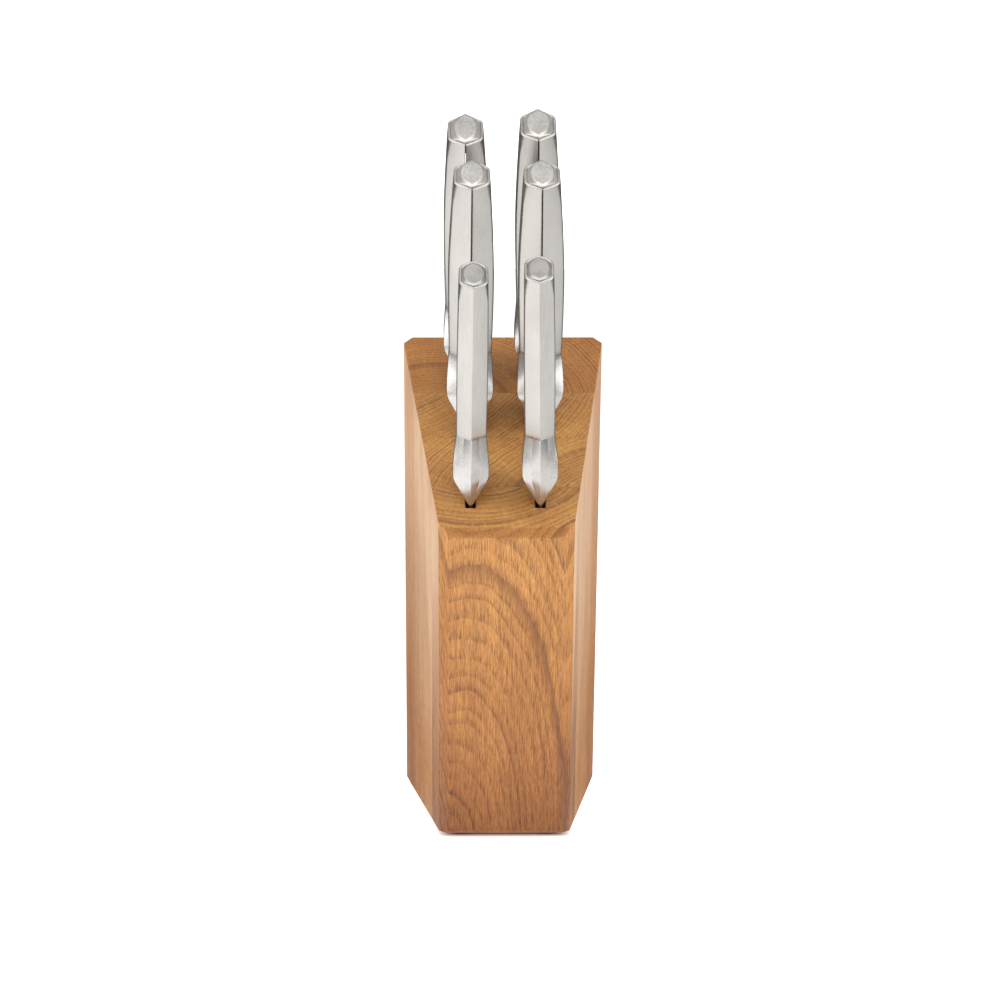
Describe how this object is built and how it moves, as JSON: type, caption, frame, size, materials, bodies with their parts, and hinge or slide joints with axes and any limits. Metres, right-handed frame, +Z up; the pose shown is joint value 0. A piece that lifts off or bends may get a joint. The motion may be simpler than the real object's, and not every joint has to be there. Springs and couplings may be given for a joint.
{
  "type": "knife block with knives",
  "caption": "Forward-leaning laminated hardwood knife block on rubber feet, holding two columns of steel-handled kitchen knives in blind slots; each knife draws out upward.",
  "frame": {"origin": "middle of the whole assembly's bounding box, on the plane the feet stand on", "axes": "+Z up; -Y is the front, toward which the block and the handles lean; +X is the right-hand side seen from the front"},
  "size_m": [0.0896, 0.2532, 0.3225],
  "materials": {
    "oak_front": "oiled open-pored hardwood, satin",
    "oak_mid_front": "oiled open-pored hardwood, satin",
    "oak_mid_back": "oiled open-pored hardwood, satin",
    "oak_back": "oiled open-pored hardwood, satin",
    "blade_steel": "satin-ground stainless steel",
    "grip_steel": "fine brushed stainless steel",
    "cap_steel": "brushed stainless steel with a polished bevel",
    "rubber": "matte black"
  },
  "bodies": {
    "block": {"stave_front": "oak_front", "stave_mid_front": "oak_mid_front", "stave_mid_back": "oak_mid_back", "stave_back": "oak_back", "foot_front_left": "rubber", "foot_front_right": "rubber", "foot_back_left": "rubber", "foot_back_right": "rubber"},
    "chef_knife": {"chef_knife_blade": "blade_steel", "chef_knife_grip_left": "grip_steel", "chef_knife_grip_right": "grip_steel", "chef_knife_end_cap": "cap_steel"},
    "santoku_knife": {"santoku_knife_blade": "blade_steel", "santoku_knife_grip_left": "grip_steel", "santoku_knife_grip_right": "grip_steel", "santoku_knife_end_cap": "cap_steel"},
    "carving_knife": {"carving_knife_blade": "blade_steel", "carving_knife_grip_left": "grip_steel", "carving_knife_grip_right": "grip_steel", "carving_knife_end_cap": "cap_steel"},
    "bread_knife": {"bread_knife_blade": "blade_steel", "bread_knife_grip_left": "grip_steel", "bread_knife_grip_right": "grip_steel", "bread_knife_end_cap": "cap_steel"},
    "utility_knife": {"utility_knife_blade": "blade_steel", "utility_knife_grip_left": "grip_steel", "utility_knife_grip_right": "grip_steel", "utility_knife_end_cap": "cap_steel"},
    "paring_knife": {"paring_knife_blade": "blade_steel", "paring_knife_grip_left": "grip_steel", "paring_knife_grip_right": "grip_steel", "paring_knife_end_cap": "cap_steel"}
  },
  "joints": [
    {"name": "chef_knife_draw", "type": "slide", "parent": "block", "child": "chef_knife", "axis": [0.007, -0.4226, 0.9063], "range_m": [0, 0.2]},
    {"name": "santoku_knife_draw", "type": "slide", "parent": "block", "child": "santoku_knife", "axis": [-0.0017, -0.4226, 0.9063], "range_m": [0, 0.19]},
    {"name": "carving_knife_draw", "type": "slide", "parent": "block", "child": "carving_knife", "axis": [-0.0063, -0.4226, 0.9063], "range_m": [0, 0.22]},
    {"name": "bread_knife_draw", "type": "slide", "parent": "block", "child": "bread_knife", "axis": [-0.0063, -0.4226, 0.9063], "range_m": [0, 0.22]},
    {"name": "utility_knife_draw", "type": "slide", "parent": "block", "child": "utility_knife", "axis": [0.0105, -0.4226, 0.9063], "range_m": [0, 0.14]},
    {"name": "paring_knife_draw", "type": "slide", "parent": "block", "child": "paring_knife", "axis": [-0.014, -0.4226, 0.9062], "range_m": [0, 0.11]}
  ]
}
